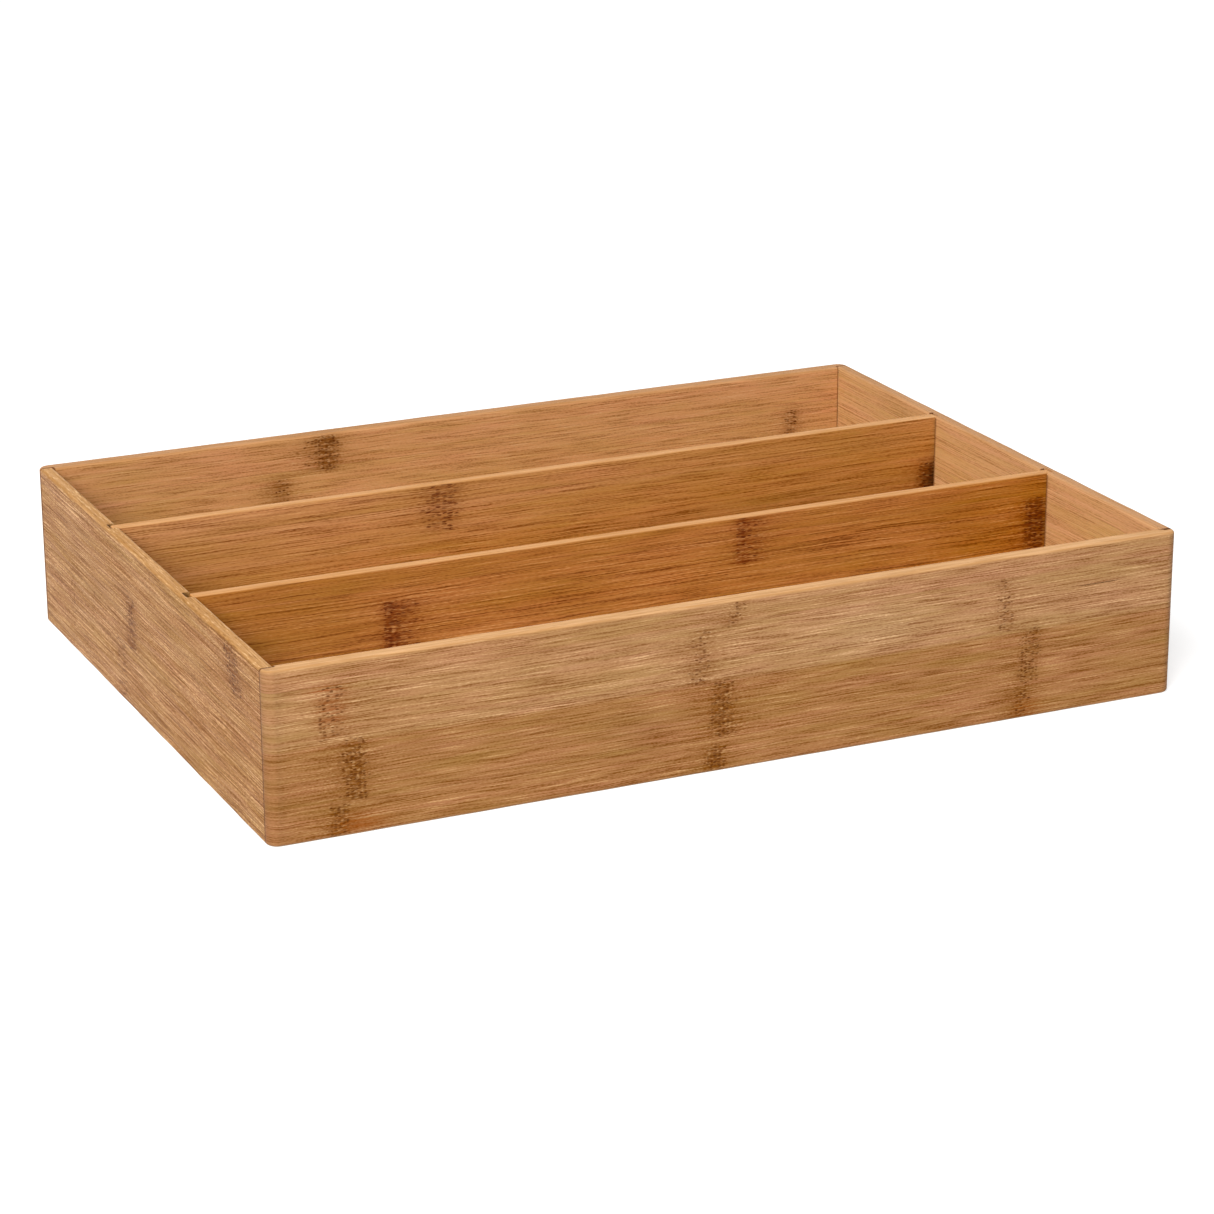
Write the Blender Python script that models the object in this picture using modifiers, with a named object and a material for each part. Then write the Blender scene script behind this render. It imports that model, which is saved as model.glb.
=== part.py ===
"""Bamboo organizer tray with three long bays and two lift-out dividers.

Metres. X runs along the length, Y from the front to the rear and Z up. The origin is the middle of
the footprint, on the surface that the tray stands on.

Two long boards close the front and the rear. Each has a rabbet at both ends, so that a thin lip
covers the end of a side board, and the tray's upright corners are rounded within the lips. The
side boards carry a full-height dado for each divider, and all four boards carry a groove that
holds the bottom panel. The dividers stand on the panel and slide up out of their dadoes.
"""

import bmesh
import bpy
from mathutils import Vector

# Outside of the tray
LENGTH = 0.340
DEPTH = 0.250
HEIGHT = 0.060

# Thickness of the boards
LONG_BOARD_THICKNESS = 0.0062
SIDE_BOARD_THICKNESS = 0.0050
DIVIDER_THICKNESS = 0.0042
PANEL_THICKNESS = 0.0030

# Corner joints: the lip that a rabbet leaves, and the glue gap between fixed pieces
LIP_THICKNESS = 0.0042
GLUE_GAP = 0.0003

# Bottom panel: how high it hangs above the table, and how far it reaches into each board
PANEL_RECESS = 0.0050
PANEL_TONGUE = 0.0025

# Dividers: clear width of the front and the rear bay, and the drop of their tops below the rim
OUTER_BAY_WIDTH = 0.0750
DIVIDER_TOP_DROP = 0.0002
DIVIDER_SEAT_GAP = 0.0003

# Dadoes: depth in the side board, and the play in front of and behind a divider
DADO_DEPTH = 0.0030
DADO_FRONT_PLAY = 0.0003
DADO_REAR_PLAY = 0.0007

# End play of a divider in all, and the part of it that shows at one end as the dividers lie
DIVIDER_END_PLAY = 0.0024
FRONT_DIVIDER_RIGHT_GAP = 0.0003
REAR_DIVIDER_LEFT_GAP = 0.0008

# Rounded upright corners, which stay within the lips
CORNER_RADIUS = 0.0040
CORNER_SEGMENTS = 6
CORNER_SHARE_OF_LIP = 0.96

# Eased edges
BOARD_EASE_RADIUS = 0.0010
DIVIDER_EASE_RADIUS = 0.0006
EASE_SEGMENTS = 3
EASE_SHARE_OF_WALL = 0.4

# How far a cutter runs past the wall that it opens
CUT_OVERRUN = 0.0010

# Finish of the bamboo, as 8-bit display colours
BOARD_COLOUR = (177, 128, 82)
SIDE_BOARD_COLOUR = (184, 138, 96)
DIVIDER_COLOUR = (176, 112, 56)
PANEL_COLOUR = (186, 142, 96)
BOARD_ROUGHNESS = 0.55
DIVIDER_ROUGHNESS = 0.50
PANEL_ROUGHNESS = 0.65

TRAY = "bamboo_organizer_tray"
CUTTERS = "cutters"

# Signs along Y for the two rows of boards, and along X for the two ends
ROWS = {"front": -1, "rear": 1}
ENDS = {"left": -1, "right": 1}


def clear_scene():
    """Removes every object that the file opened with."""
    for thing in list(bpy.data.objects):
        bpy.data.objects.remove(thing, do_unlink=True)


def new_collection(name):
    """A new collection of the scene."""
    collection = bpy.data.collections.new(name)
    bpy.context.scene.collection.children.link(collection)
    return collection


def linear(colour):
    """An 8-bit display colour as scene-linear red, green, blue and alpha."""
    shares = [value / 255 for value in colour]
    return [s / 12.92 if s <= 0.04045 else ((s + 0.055) / 1.055) ** 2.4 for s in shares] + [1.0]


def bamboo(name, colour, roughness):
    """A plain bamboo finish."""
    material = bpy.data.materials.new(name)
    material.use_nodes = True
    shader = material.node_tree.nodes["Principled BSDF"]
    shader.inputs["Base Color"].default_value = linear(colour)
    shader.inputs["Roughness"].default_value = roughness
    shader.inputs["Metallic"].default_value = 0.0
    return material


class Span:
    """A box in the tray's frame, given by its lowest and its highest corner."""

    def __init__(self, low, high):
        self.low = Vector(low)
        self.high = Vector(high)

    @property
    def centre(self):
        """The middle of the box."""
        return (self.low + self.high) / 2

    @property
    def size(self):
        """The edge lengths of the box."""
        return self.high - self.low

    def grown(self, margin):
        """The same box, larger by the margin on every side."""
        rim = Vector((margin, margin, margin))
        return Span(self.low - rim, self.high + rim)


def box_object(name, span, collection, is_marked=None):
    """A box as an object whose origin is its middle.

    is_marked takes the signs of an edge's two corners, and marks the edges that a Bevel rounds.
    """
    mesh = bpy.data.meshes.new(name)
    shape = bmesh.new()
    bmesh.ops.create_cube(shape, size=2.0)
    if is_marked:
        weight = shape.edges.layers.float.new("bevel_weight_edge")
        for edge in shape.edges:
            start, end = (vertex.co for vertex in edge.verts)
            edge[weight] = 1.0 if is_marked(start, end) else 0.0
    bmesh.ops.scale(shape, vec=span.size / 2, verts=shape.verts)
    shape.to_mesh(mesh)
    shape.free()
    thing = bpy.data.objects.new(name, mesh)
    thing.location = span.centre
    collection.objects.link(thing)
    return thing


def ease_radius(radius, wall):
    """The radius of an eased edge, which is no more than the wall can take."""
    return min(radius, wall * EASE_SHARE_OF_WALL)


def round_marked_edges(board, radius, segments):
    """Rounds the edges that were marked as the board was made."""
    bevel = board.modifiers.new("marked_edges", "BEVEL")
    bevel.limit_method = "WEIGHT"
    bevel.width = radius
    bevel.segments = segments


def round_sharp_edges(board, radius):
    """Eases every edge that is sharp by now, so it follows the corners that are round already."""
    bevel = board.modifiers.new("sharp_edges", "BEVEL")
    bevel.limit_method = "ANGLE"
    bevel.width = radius
    bevel.segments = EASE_SEGMENTS


def cutter(name, span, collection):
    """A hidden box that opens a rabbet, a dado or a groove."""
    tool = box_object(name, span, collection)
    tool.display_type = "WIRE"
    tool.hide_render = True
    return tool


def cut(board, tool):
    """Takes a cutter's shape out of a board."""
    boolean = board.modifiers.new(tool.name, "BOOLEAN")
    boolean.operation = "DIFFERENCE"
    boolean.solver = "EXACT"
    boolean.object = tool


def long_board_span(side):
    """The front board's box where side is -1, and the rear board's where it is 1."""
    outside = side * DEPTH / 2
    inside = side * (DEPTH / 2 - LONG_BOARD_THICKNESS)
    return Span((-LENGTH / 2, min(outside, inside), 0), (LENGTH / 2, max(outside, inside), HEIGHT))


def side_board_span(side):
    """The left board's box where side is -1, and the right board's where it is 1."""
    outside = side * LENGTH / 2
    inside = side * (LENGTH / 2 - SIDE_BOARD_THICKNESS)
    reach = DEPTH / 2 - LIP_THICKNESS - GLUE_GAP
    return Span((min(outside, inside), -reach, 0), (max(outside, inside), reach, HEIGHT))


def panel_span():
    """The bottom panel's box, with its tongues in the boards."""
    half_length = LENGTH / 2 - SIDE_BOARD_THICKNESS + PANEL_TONGUE
    half_depth = DEPTH / 2 - LONG_BOARD_THICKNESS + PANEL_TONGUE
    top = PANEL_RECESS + PANEL_THICKNESS
    return Span((-half_length, -half_depth, PANEL_RECESS), (half_length, half_depth, top))


def divider_front_face(side):
    """Where a divider's front face stands, for the front (-1) and the rear (1) divider."""
    bay_edge = DEPTH / 2 - LONG_BOARD_THICKNESS - OUTER_BAY_WIDTH
    return -bay_edge if side < 0 else bay_edge - DIVIDER_THICKNESS


def divider_span(side):
    """A divider's box, standing on the panel in its dadoes."""
    dado_floor = LENGTH / 2 - SIDE_BOARD_THICKNESS + DADO_DEPTH
    length = 2 * dado_floor - DIVIDER_END_PLAY
    if side < 0:
        left = dado_floor - FRONT_DIVIDER_RIGHT_GAP - length
    else:
        left = REAR_DIVIDER_LEFT_GAP - dado_floor
    front = divider_front_face(side)
    bottom = PANEL_RECESS + PANEL_THICKNESS + DIVIDER_SEAT_GAP
    top = HEIGHT - DIVIDER_TOP_DROP
    return Span((left, front, bottom), (left + length, front + DIVIDER_THICKNESS, top))


def dado_span(side, end):
    """The slot for one divider in the left (-1) or the right (1) board, open at the top and bottom."""
    floor = end * (LENGTH / 2 - SIDE_BOARD_THICKNESS + DADO_DEPTH)
    mouth = end * (LENGTH / 2 - SIDE_BOARD_THICKNESS - CUT_OVERRUN)
    front = divider_front_face(side)
    low = (min(floor, mouth), front - DADO_FRONT_PLAY, -CUT_OVERRUN)
    high = (max(floor, mouth), front + DIVIDER_THICKNESS + DADO_REAR_PLAY, HEIGHT + CUT_OVERRUN)
    return Span(low, high)


def make_long_board(name, side, tray, rabbets, groove):
    """The front or the rear board: rounded at the tray's two upright corners, and eased all round.
    The rabbets take its other two upright edges away."""

    def is_marked(start, end):
        """True for an upright edge of the outer face."""
        return start.z != end.z and start.y * side > 0

    board = box_object(name, long_board_span(side), tray, is_marked)
    board.data.materials.append(bamboo(f"{name}_bamboo", BOARD_COLOUR, BOARD_ROUGHNESS))
    round_marked_edges(board, min(CORNER_RADIUS, LIP_THICKNESS * CORNER_SHARE_OF_LIP), CORNER_SEGMENTS)
    round_sharp_edges(board, ease_radius(BOARD_EASE_RADIUS, LONG_BOARD_THICKNESS))
    for tool in (*rabbets, groove):
        cut(board, tool)
    return board


def make_side_board(name, side, tray, dadoes, groove):
    """The left or the right board: its long edges are eased, and its ends are square for the joint."""

    def is_marked(start, end):
        """True for an edge along the board."""
        return start.y != end.y

    board = box_object(name, side_board_span(side), tray, is_marked)
    board.data.materials.append(bamboo(f"{name}_bamboo", SIDE_BOARD_COLOUR, BOARD_ROUGHNESS))
    round_marked_edges(board, ease_radius(BOARD_EASE_RADIUS, SIDE_BOARD_THICKNESS), EASE_SEGMENTS)
    for tool in (*dadoes, groove):
        cut(board, tool)
    return board


def make_divider(name, side, tray):
    """A loose divider, eased all round."""
    divider = box_object(name, divider_span(side), tray)
    divider.data.materials.append(bamboo(f"{name}_bamboo", DIVIDER_COLOUR, DIVIDER_ROUGHNESS))
    round_sharp_edges(divider, ease_radius(DIVIDER_EASE_RADIUS, DIVIDER_THICKNESS))
    return divider


def make_panel(name, tray):
    """The thin panel that closes the bottom."""
    panel = box_object(name, panel_span(), tray)
    panel.data.materials.append(bamboo(f"{name}_bamboo", PANEL_COLOUR, PANEL_ROUGHNESS))
    return panel


def main():
    """Builds the tray."""
    clear_scene()
    tray = new_collection(TRAY)
    tools = new_collection(CUTTERS)
    frame = bpy.data.objects.new("tray_frame", None)
    tray.objects.link(frame)

    groove = cutter("panel_groove_cutter", panel_span().grown(GLUE_GAP), tools)
    rabbets = []
    dadoes = {end: [] for end in ENDS.values()}
    for end_name, end in ENDS.items():
        rabbets.append(cutter(f"{end_name}_rabbet_cutter", side_board_span(end).grown(GLUE_GAP), tools))
        for row_name, side in ROWS.items():
            dadoes[end].append(cutter(f"{end_name}_{row_name}_dado_cutter", dado_span(side, end), tools))

    pieces = []
    for row_name, side in ROWS.items():
        pieces.append(make_long_board(f"{row_name}_board", side, tray, rabbets, groove))
        pieces.append(make_divider(f"{row_name}_divider", side, tray))
    for end_name, end in ENDS.items():
        pieces.append(make_side_board(f"{end_name}_side_board", end, tray, dadoes[end], groove))
    pieces.append(make_panel("bottom_panel", tray))
    for piece in pieces:
        piece.parent = frame


main()
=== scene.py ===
"""Looks of the bamboo organizer tray: four boards, a bottom panel and two lift-out dividers.

Metres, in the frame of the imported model: X along the length, Y from the front to the rear, Z up.
Every board is pressed from strips of bamboo about 20 mm wide. Its surface is the skin of a lattice
of points: stations along the grain, rungs across it, and columns from its inner to its outer face.
Rabbets, dadoes and grooves are depths under the inner face, and eased edges are quarter circles.
The finishes, and the knuckles, patches and strips on a board, count in millimetres, because
fibres are a fraction of one.
"""

import logging
import math
from dataclasses import dataclass
from enum import Enum

import bmesh
import bpy
import numpy as np
from mathutils import Matrix, Vector


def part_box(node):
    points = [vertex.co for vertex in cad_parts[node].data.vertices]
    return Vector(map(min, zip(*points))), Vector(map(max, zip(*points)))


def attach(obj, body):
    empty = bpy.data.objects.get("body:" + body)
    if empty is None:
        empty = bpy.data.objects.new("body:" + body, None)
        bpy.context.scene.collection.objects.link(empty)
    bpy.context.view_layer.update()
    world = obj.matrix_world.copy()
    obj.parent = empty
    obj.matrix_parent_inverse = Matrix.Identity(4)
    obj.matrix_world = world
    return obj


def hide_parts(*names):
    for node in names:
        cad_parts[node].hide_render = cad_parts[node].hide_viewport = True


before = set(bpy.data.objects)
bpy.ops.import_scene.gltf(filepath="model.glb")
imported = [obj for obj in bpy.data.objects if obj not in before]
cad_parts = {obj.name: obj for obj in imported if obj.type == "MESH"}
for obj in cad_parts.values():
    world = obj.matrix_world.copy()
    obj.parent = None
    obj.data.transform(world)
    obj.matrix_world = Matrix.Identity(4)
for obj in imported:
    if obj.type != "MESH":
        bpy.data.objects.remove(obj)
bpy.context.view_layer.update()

Span = tuple[float, float]
Colour = tuple[int, int, int]

X, Y, Z = 0, 1, 2
MILLIMETRES = 1000.0
DIVIDER_NODES = ("front_divider", "rear_divider")

# Joinery, as in the solids: what the glue and the dividers' play leave open
GLUE_GAP = 0.0003
LIP_THICKNESS = 0.0042
DADO_DEPTH = 0.0030
DADO_FRONT_PLAY = 0.0003
DADO_REAR_PLAY = 0.0007

# The joints that the photograph shows closed are drawn tighter than in the solids
TIGHT_CORNER_GAP = 0.0001
TIGHT_REAR_PLAY = 0.0002
TIGHT_END_PLAY = 0.0001

# How far a cut runs past the end of a board, and a distance that is past every face
OVERRUN = 0.001
FAR = 1.0

# Lattice: width of a cut's wall, steps round an edge and round a corner, columns through a board
WALL_STEP = 0.00002
EASE_STEPS = 5
CORNER_STEPS = 12
COLUMNS = 8
MERGE_DISTANCE = 0.000002
SHARP_ANGLE = math.radians(35)

# Sanding: depth of a face's waves, their radians per metre along and across the grain, how far the
# inner face reads them from the outer one, and the share and waves by which an eased edge varies
HOLLOW = 0.00002
CROSSED_WAVES = (61, 190)
SLANTED_WAVE = (143, 95)
INNER_SHIFT = 0.5
EASE_VARIES = 0.12
EASE_WAVES = (210, 83)

# Marks on the mesh. An outer eased edge of radius r gets painted shade, most halfway round, where its
# distances from both faces add up to r less 0.414 r. The rim fades out between two shares of that radius.
# Unvarnished wood, darkened as painted shade, fills the cuts: it is full at a depth in the cut, starts at
# a share of the pale mouth, and reaches past a floor.
EDGE_SHADE = 0.14
HALF_ROUND = 0.414
RIM_FADE = (0.2, 0.9)
RAW_AND_SHADE_DEPTH = 0.0007
PALE_CORE = 0.4
FLOOR_SLACK = 0.0002

# Widths of the soft ends of a knuckle's band, of its halo and of a strip, in millimetres
BAND_SOFTNESS = 1.6
HALO_SOFTNESS = 4.0
STRIP_SOFTNESS = 1.5

# How far a crack takes to reach its depth
SLIT_TAPER = 0.003

log = logging.getLogger("organizer_tray")


class Grain(Enum):
    """Which axes lie along the fibres, across a board's face and through its thickness."""

    LENGTHWISE = (X, Z, Y)
    FRONT_TO_REAR = (Y, Z, X)
    FLAT_SHEET = (X, Y, Z)


class Outside(Enum):
    """The side of its box on which a board's outer face lies."""

    LOW = 1
    HIGH = -1


def linear(colour: Colour) -> tuple[float, float, float, float]:
    """An 8-bit display colour as the scene-linear red, green, blue and alpha that a shader takes."""
    shares = [value / 255 for value in colour]
    return tuple(s / 12.92 if s <= 0.04045 else ((s + 0.055) / 1.055) ** 2.4 for s in shares) + (1.0,)


def smooth_step(low: float, high: float, value: np.ndarray) -> np.ndarray:
    """Rises from 0 at low to 1 at high as t squared times (3 - 2t)."""
    share = np.clip((value - low) / (high - low), 0.0, 1.0)
    return share * share * (3.0 - 2.0 * share)


def window(value: np.ndarray, span: Span, soft: float) -> np.ndarray:
    """1 within a span and 0 outside it, with a smooth step of the given width at each end."""
    rise, fall = (smooth_step(end - soft / 2, end + soft / 2, value) for end in span)
    return rise * (1.0 - fall)


@dataclass(frozen=True)
class Knuckle:
    """Where a node of the bamboo crosses one strip: a speckled band with a soft brown halo.

    The halo has a reach to each side and a strength.
    """

    along: float
    across: Span
    width: float = 4.5
    strength: float = 1.0
    lean: float = 0.0
    halo: tuple[float, float, float] = (6.0, 6.0, 0.75)

    def offset(self, along: np.ndarray, across: np.ndarray) -> np.ndarray:
        """Distance along the grain from the band's middle line, which may lean."""
        return along - self.along - self.lean * (across - sum(self.across) / 2)

    def band(self, along: np.ndarray, across: np.ndarray) -> np.ndarray:
        """The band's strength: a bell over its width, exp(-(2u / width) to the fourth power)."""
        bell = np.exp(-((2.0 * self.offset(along, across) / self.width) ** 4))
        return self.strength * bell * window(across, self.across, BAND_SOFTNESS)

    def shade(self, along: np.ndarray, across: np.ndarray) -> np.ndarray:
        """The halo's strength. It fades as exp(-u / reach), from a third of the band's width on.

        Args:
            along: Places along the grain.
            across: Places across the board.

        Returns:
            The strength at each place.
        """
        before, after, strength = self.halo
        offset = self.offset(along, across)
        u = np.maximum(np.abs(offset) - self.width / 3, 0.0)
        fade = np.exp(-u / np.where(offset < 0.0, before, after))
        return strength * fade * window(across, self.across, HALO_SOFTNESS)


@dataclass(frozen=True, kw_only=True)
class Mark:
    """What a mark does to the wood: lightens, reddens or rusts it, or paints shade over it."""

    tone: float = 0.0
    warmth: float = 0.0
    rust: float = 0.0
    shade: float = 0.0


@dataclass(frozen=True)
class Patch(Mark):
    """A soft cloud with a half-width along the grain, its length, and one across it."""

    along: float
    across: float
    length: float
    width: float

    def weight(self, along: np.ndarray, across: np.ndarray) -> np.ndarray:
        """exp(-(u squared + v squared)), with u and v measured in half-widths."""
        u, v = (along - self.along) / self.length, (across - self.across) / self.width
        return np.exp(-(u * u + v * v))


@dataclass(frozen=True)
class Strip(Mark):
    """One strip of the board that differs from its neighbours."""

    across: Span

    def weight(self, along: np.ndarray, across: np.ndarray) -> np.ndarray:
        """1 on the strip and 0 off it, wherever along the grain."""
        return window(across, self.across, STRIP_SOFTNESS)


@dataclass(frozen=True)
class Cut:
    """A rabbet, a dado or a groove: the stretch that it takes along and across, and its depth."""

    along: Span
    across: Span
    depth: float

    def holds(self, along: np.ndarray, across: np.ndarray) -> np.ndarray:
        """True at the places that the cut takes."""
        return within(along, self.along) & within(across, self.across)


@dataclass(frozen=True)
class Slit:
    """A narrow V in the outer face, along the grain: a drying crack."""

    along: Span
    across: float
    width: float
    depth: float

    def rungs(self) -> list[float]:
        """Places across the face that give the V its edges and its bottom."""
        return [self.across + share * self.width for share in (-1.0, -0.5, 0.0, 0.5, 1.0)]

    def sink(self, along: np.ndarray, across: np.ndarray) -> np.ndarray:
        """Depth times (1 - distance / half width), tapering to nothing at both ends.

        Args:
            along: Places along the grain.
            across: Places across the face.

        Returns:
            The depth at each place.
        """
        low, high = self.along
        taper = window(along, (low + SLIT_TAPER / 2, high - SLIT_TAPER / 2), SLIT_TAPER)
        return self.depth * taper * np.clip(1.0 - 2.0 * np.abs(across - self.across) / self.width, 0.0, 1.0)


@dataclass(frozen=True)
class SeamAndShade:
    """A thin dark line on a board: a glued seam, or a line of painted shade.

    It lies where a plane square to one axis meets the skin, on both sides of the tray's middle if
    it is mirrored. It shows only where the distance from the middle along a second axis is within
    the gate, and the depth under the outer face within the depths.
    """

    axis: int
    place: float
    gate_axis: int
    gate: Span
    width: float = 0.0006
    strength: float = 0.75
    mirrored: bool = True
    depths: Span = (-FAR, FAR)


def within(values: np.ndarray, span: Span) -> np.ndarray:
    """True where a value lies within a span, its ends included."""
    slack = WALL_STEP / 4
    return (values > span[0] - slack) & (values < span[1] + slack)


def walls(span: Span) -> list[float]:
    """The top and the foot of both walls of a cut."""
    start, end = span
    return [start - WALL_STEP, start, end, end + WALL_STEP]


def whole(span: Span) -> Span:
    """A span that reaches past both ends of the given one, for a cut that runs right through."""
    return span[0] - OVERRUN, span[1] + OVERRUN


def graded(stops: list[float], spacing: float) -> np.ndarray:
    """Places from the first stop to the last, with every stop among them.

    Between two stops the places are evenly spaced, with round-up(distance / spacing) steps.

    Args:
        stops: Places that have to be there.
        spacing: The widest step.

    Returns:
        The places, in rising order.
    """
    marks = np.unique(np.round(np.array(stops, float), 8))
    runs = [
        np.linspace(low, high, max(1, math.ceil((high - low) / spacing - 1e-6)), endpoint=False)
        for low, high in zip(marks[:-1], marks[1:])
    ]
    return np.concatenate([*runs, marks[-1:]])


def skin(name: str, inner: np.ndarray, outer: np.ndarray) -> bpy.types.Object:
    """The closed skin of a lattice that blends from an inner sheet to an outer sheet.

    A lattice point is inner times (1 - w) plus outer times w, with w from 0 to 1. The skin is its
    two sheets, the strips over its first and last rung and the caps at its first and last station.

    Args:
        name: Name of the new object.
        inner: Points of the inner sheet, stations by rungs by 3.
        outer: Points of the outer sheet, in the same order.

    Returns:
        The object, with its doubles merged and its faces pointing out.
    """
    w = np.linspace(0.0, 1.0, COLUMNS + 1)[:, None]
    strips = [inner[:, rung, None] * (1 - w) + outer[:, rung, None] * w for rung in (0, -1)]
    caps = [inner[end, :, None] * (1 - w) + outer[end, :, None] * w for end in (0, -1)]
    corners, loops, start = [], [], 0
    for grid in (inner, outer, *strips, *caps):
        rows, columns = grid.shape[:2]
        index = start + np.arange(rows * columns).reshape(rows, columns)
        quads = np.stack([index[:-1, :-1], index[1:, :-1], index[1:, 1:], index[:-1, 1:]], axis=-1)
        corners.append(grid.reshape(-1, 3))
        loops.append(quads.reshape(-1, 4))
        start += rows * columns
    mesh = bpy.data.meshes.new(name)
    mesh.from_pydata(np.concatenate(corners).tolist(), [], np.concatenate(loops).tolist())
    shape = bmesh.new()
    shape.from_mesh(mesh)
    bmesh.ops.remove_doubles(shape, verts=shape.verts, dist=MERGE_DISTANCE)
    bmesh.ops.recalc_face_normals(shape, faces=shape.faces)
    shape.to_mesh(mesh)
    shape.free()
    mesh.polygons.foreach_set("use_smooth", np.ones(len(mesh.polygons), bool))
    mesh.set_sharp_from_angle(angle=SHARP_ANGLE)
    thing = bpy.data.objects.new(name, mesh)
    bpy.context.scene.collection.objects.link(thing)
    return thing


class Signal:
    """A number or a colour in a node tree. Arithmetic on it adds nodes to the tree."""

    def __init__(self, bench: "Bench", socket: bpy.types.NodeSocket) -> None:
        """Keeps the tree, and the socket that the signal comes from."""
        self.bench = bench
        self.socket = socket

    def __add__(self, other: "Number") -> "Signal":
        """The sum."""
        return self.bench.math("ADD", self, other)

    def __sub__(self, other: "Number") -> "Signal":
        """The difference."""
        return self.bench.math("SUBTRACT", self, other)

    def __rsub__(self, other: float) -> "Signal":
        """The difference from a plain number."""
        return self.bench.math("SUBTRACT", other, self)

    def __mul__(self, other: "Number") -> "Signal":
        """The product."""
        return self.bench.math("MULTIPLY", self, other)

    __radd__ = __add__

    def __abs__(self) -> "Signal":
        """The distance from 0."""
        return self.bench.math("ABSOLUTE", self)

    def sibling(self, key: int | str) -> "Signal":
        """Another output of the same node."""
        return Signal(self.bench, self.socket.node.outputs[key])

    def step(self, source: Span, target: Span = (0.0, 1.0)) -> "Signal":
        """A smooth step from one span of values to another.

        Args:
            source: Where the step starts and ends. The node only takes a rising span, so a falling
                one is turned round.
            target: What it goes from and to.

        Returns:
            The result.
        """
        if source[0] > source[1]:
            source, target = source[::-1], target[::-1]
        inputs = dict(enumerate((self, *source, *target)))
        return self.bench.node("ShaderNodeMapRange", inputs, interpolation_type="SMOOTHSTEP", clamp=True)


Number = Signal | float


class Bench:
    """A node tree, with a short call for each kind of node that the finishes use."""

    def __init__(self, owner: bpy.types.ID) -> None:
        """Starts with an empty node tree.

        Args:
            owner: The material or world that has the tree.
        """
        owner.use_nodes = True
        self.owner = owner
        self.tree = owner.node_tree
        self.tree.nodes.clear()

    def node(self, kind: str, inputs: dict, output: int | str = 0, **settings: object) -> Signal:
        """Adds a node.

        Args:
            kind: The node's type.
            inputs: Signals or values for its inputs, by number or name.
            output: The output that is wanted, by number or name.
            settings: Properties to set on the node.

        Returns:
            The output.
        """
        node = self.tree.nodes.new(kind)
        for key, value in settings.items():
            setattr(node, key, value)
        for key, value in inputs.items():
            if isinstance(value, Signal):
                self.tree.links.new(value.socket, node.inputs[key])
            else:
                node.inputs[key].default_value = value
        return Signal(self, node.outputs[output])

    def close(self, kind: str, surface: Signal) -> None:
        """Ends the tree with an output node."""
        self.tree.links.new(surface.socket, self.tree.nodes.new(kind).inputs["Surface"])

    def math(self, operation: str, *terms: Number, clamp: bool = False) -> Signal:
        """Arithmetic on one or two numbers, kept between 0 and 1 where it is clamped."""
        return self.node("ShaderNodeMath", dict(enumerate(terms)), operation=operation, use_clamp=clamp)

    def mix(self, share: Number, a: object, b: object) -> Signal:
        """A blend of two colours, which sit on inputs 6 and 7 and come out of output 2."""
        return self.node("ShaderNodeMix", {0: share, 6: a, 7: b}, 2, data_type="RGBA", clamp_factor=True)

    def vector(self, *numbers: Number) -> Signal:
        """A vector from three numbers."""
        return self.node("ShaderNodeCombineXYZ", dict(enumerate(numbers)))

    def noise(self, place: Signal, detail: float, rough: float = 0.5) -> Signal:
        """Fractal noise about 0, mostly from -1 to 1, with one feature to a unit of its place and a
        number of finer octaves that each keep a share of it."""
        inputs = {"Vector": place, "Scale": 1.0, "Detail": detail, "Roughness": rough}
        return (self.node("ShaderNodeTexNoise", inputs) - 0.5) * 4.0

    def seen(self) -> Signal:
        """1 for what the camera sees, straight or in a mirror or through glass, and 0 for light."""
        straight = self.node("ShaderNodeLightPath", {}, "Is Camera Ray")
        mirrored = self.math("MAXIMUM", straight, straight.sibling("Is Glossy Ray"))
        return self.math("MAXIMUM", mirrored, straight.sibling("Is Transmission Ray"))

    def read(self, attribute: str) -> Signal:
        """A number that the mesh carries at each of its points."""
        return self.node("ShaderNodeAttribute", {}, "Fac", attribute_name=attribute)


@dataclass(frozen=True)
class Tones:
    """The colours of one board, as 8-bit display colours."""

    olive: Colour = (160, 119, 70)
    rosy: Colour = (169, 118, 81)
    dark: Colour = (118, 70, 24)
    light: Colour = (208, 165, 116)
    vein: Colour = (104, 60, 18)
    ground: Colour = (118, 68, 16)
    speck: Colour = (88, 42, 0)
    rust: Colour = (152, 80, 34)
    rim: Colour = (206, 160, 112)
    rim_dark: Colour = (186, 138, 88)
    fleck: Colour = (234, 196, 146)
    # Glued joints, and also the lines of painted shade on a tight board
    joint_and_shade: Colour = (94, 48, 6)
    # Unvarnished wood in the cuts, dark as painted shade
    raw_and_shade: Colour = (52, 26, 6)


@dataclass(frozen=True)
class Bamboo:
    """Pressed bamboo under a satin varnish: strips, fibres, knuckles and sanded rims.

    The seed shifts the pattern, so that no two boards are alike. The first edge is the lowest glue
    line across the board, and the stretch says how much longer than usual the thin fibres are.
    """

    name: str
    seed: float
    grain: Grain = Grain.LENGTHWISE
    tones: Tones = Tones()
    strip_width: float = 20.5
    first_edge: float = 11.5
    contrast: float = 1.0
    bands: float = 1.0
    stretch: float = 1.0
    hair: float = 0.84
    pores: float = 0.34
    flecks: float = 0.0
    roughness: Span = (0.62, 0.46)
    gloss: float = 0.10
    relief: float = 0.00004


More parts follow.
